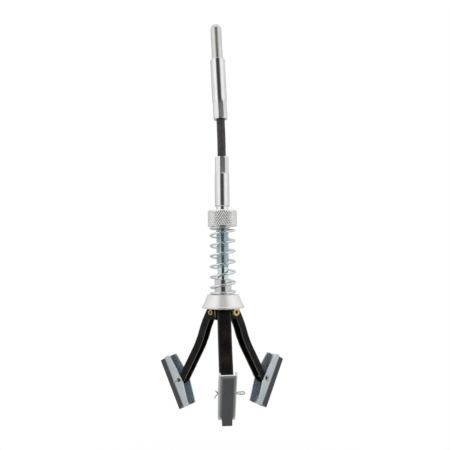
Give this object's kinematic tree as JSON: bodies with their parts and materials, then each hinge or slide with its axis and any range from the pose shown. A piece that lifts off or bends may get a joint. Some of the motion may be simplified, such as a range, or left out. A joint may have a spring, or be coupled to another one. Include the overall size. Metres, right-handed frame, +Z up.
{
  "type": "cylinder hone",
  "caption": "Cylinder hone with spring-loaded stones on folding channel arms below a thrust cone and a knurled tension nut, driven by a round shank through a flexible cable.",
  "frame": {"origin": "on the spindle axis, level with the three arm pivots", "axes": "+Z up the spindle towards the drill end, -Y towards the front arm, +X to the right of it"},
  "size_m": [0.0687, 0.0584, 0.2112],
  "materials": {
    "shank_steel": "ground bright steel",
    "ferrule_steel": "plated steel sleeve",
    "cable_wire": "wound steel wire",
    "zinc_steel": "bluish zinc plating",
    "nut_steel": "knurled, plated",
    "spring_steel": "zinc plated spring wire",
    "cone_aluminium": "turned, satin",
    "black_steel": "black oxide",
    "eyelet_brass": "pressed brass",
    "pin_steel": "bright plated wire",
    "abrasive_stone": "grey bonded abrasive, rough"
  },
  "bodies": {
    "drive_end": {"drill_shank": "shank_steel", "upper_ferrule": "ferrule_steel"},
    "cable": {"cable_core": "cable_wire", "cable_winding": "cable_wire"},
    "spindle_body": {"lower_ferrule": "ferrule_steel", "spindle": "zinc_steel", "hub": "black_steel", "pivot_eyelet_front": "eyelet_brass", "pivot_eyelet_right": "eyelet_brass", "pivot_eyelet_left": "eyelet_brass"},
    "spring_carrier": {"spring": "spring_steel"},
    "nut": {"tension_nut": "nut_steel"},
    "cone": {"thrust_cone": "cone_aluminium"},
    "arm_front": {"arm_front": "black_steel"},
    "pin_front": {"cotter_pin_front": "pin_steel"},
    "shoe_front": {"stone_holder_front": "zinc_steel", "stone_front": "abrasive_stone"},
    "arm_right": {"arm_right": "black_steel"},
    "pin_right": {"cotter_pin_right": "pin_steel"},
    "shoe_right": {"stone_holder_right": "zinc_steel", "stone_right": "abrasive_stone"},
    "arm_left": {"arm_left": "black_steel"},
    "pin_left": {"cotter_pin_left": "pin_steel"},
    "shoe_left": {"stone_holder_left": "zinc_steel", "stone_left": "abrasive_stone"}
  },
  "joints": [
    {"name": "cable_bend_side", "type": "hinge", "parent": "drive_end", "child": "cable", "pos_m": [-0.0002, 0, 0.099], "axis": [1, 0, 0], "range_deg": [-20, 20], "stiffness_Nm_per_rad": 0.5, "deforming": ["cable_core", "cable_winding"]},
    {"name": "cable_bend_front", "type": "hinge", "parent": "cable", "child": "spindle_body", "pos_m": [0, 0, 0.089], "axis": [0, 1, 0], "range_deg": [-20, 20], "stiffness_Nm_per_rad": 0.5, "deforming": ["cable_core", "cable_winding"]},
    {"name": "nut_travel", "type": "slide", "parent": "spindle_body", "child": "spring_carrier", "axis": [0, 0, -1], "range_m": [0, 0.02], "deforming": ["spring"]},
    {"name": "nut_turn", "type": "hinge", "parent": "spring_carrier", "child": "nut", "pos_m": [0, 0, 0.0501], "axis": [0, 0, -1], "range_deg": [0, 7200]},
    {"name": "cone_slide", "type": "slide", "parent": "spindle_body", "child": "cone", "axis": [0, 0, 1], "range_m": [0, 0.0008]},
    {"name": "arm_front_swing", "type": "hinge", "parent": "spindle_body", "child": "arm_front", "pos_m": [0, -0.00534, 0], "axis": [-1, 0, 0], "range_deg": [-27, 0], "stiffness_Nm_per_rad": 0.011, "springref_deg": 114.59},
    {"name": "stone_lineup_front", "type": "hinge", "parent": "arm_front", "child": "pin_front", "pos_m": [0, -0.02539, -0.0368], "axis": [-1, 0, 0], "range_deg": [0, 54.7]},
    {"name": "stone_swivel_front", "type": "hinge", "parent": "pin_front", "child": "shoe_front", "pos_m": [0, -0.02539, -0.0368], "axis": [-1, 0, 0], "range_deg": [0, 58]},
    {"name": "arm_right_swing", "type": "hinge", "parent": "spindle_body", "child": "arm_right", "pos_m": [0.00462, 0.00267, 0], "axis": [0.5, -0.866, 0], "range_deg": [-27, 0]},
    {"name": "stone_lineup_right", "type": "hinge", "parent": "arm_right", "child": "pin_right", "pos_m": [0.02199, 0.0127, -0.0368], "axis": [0.5, -0.866, 0], "range_deg": [0, 53.3]},
    {"name": "stone_swivel_right", "type": "hinge", "parent": "pin_right", "child": "shoe_right", "pos_m": [0.02199, 0.0127, -0.0368], "axis": [0.5, -0.866, 0], "range_deg": [-5.5, 52.5]},
    {"name": "arm_left_swing", "type": "hinge", "parent": "spindle_body", "child": "arm_left", "pos_m": [-0.00462, 0.00267, 0], "axis": [0.5, 0.866, 0], "range_deg": [-27, 0]},
    {"name": "stone_lineup_left", "type": "hinge", "parent": "arm_left", "child": "pin_left", "pos_m": [-0.02199, 0.0127, -0.0368], "axis": [0.5, 0.866, 0], "range_deg": [0, 52.3]},
    {"name": "stone_swivel_left", "type": "hinge", "parent": "pin_left", "child": "shoe_left", "pos_m": [-0.02199, 0.0127, -0.0368], "axis": [0.5, 0.866, 0], "range_deg": [-7.1, 50.9]}
  ],
  "couplings": [
    {"joint": "nut_turn", "follows": "nut_travel", "rad_per_m": 6283.2},
    {"joint": "cone_slide", "follows": "arm_front_swing", "m_per_rad": -0.0016},
    {"joint": "stone_lineup_front", "follows": "arm_front_swing", "ratio": -2.0222},
    {"joint": "arm_right_swing", "follows": "arm_front_swing", "ratio": 1},
    {"joint": "stone_lineup_right", "follows": "arm_front_swing", "ratio": -1.9704},
    {"joint": "arm_left_swing", "follows": "arm_front_swing", "ratio": 1},
    {"joint": "stone_lineup_left", "follows": "arm_front_swing", "ratio": -1.9333}
  ]
}
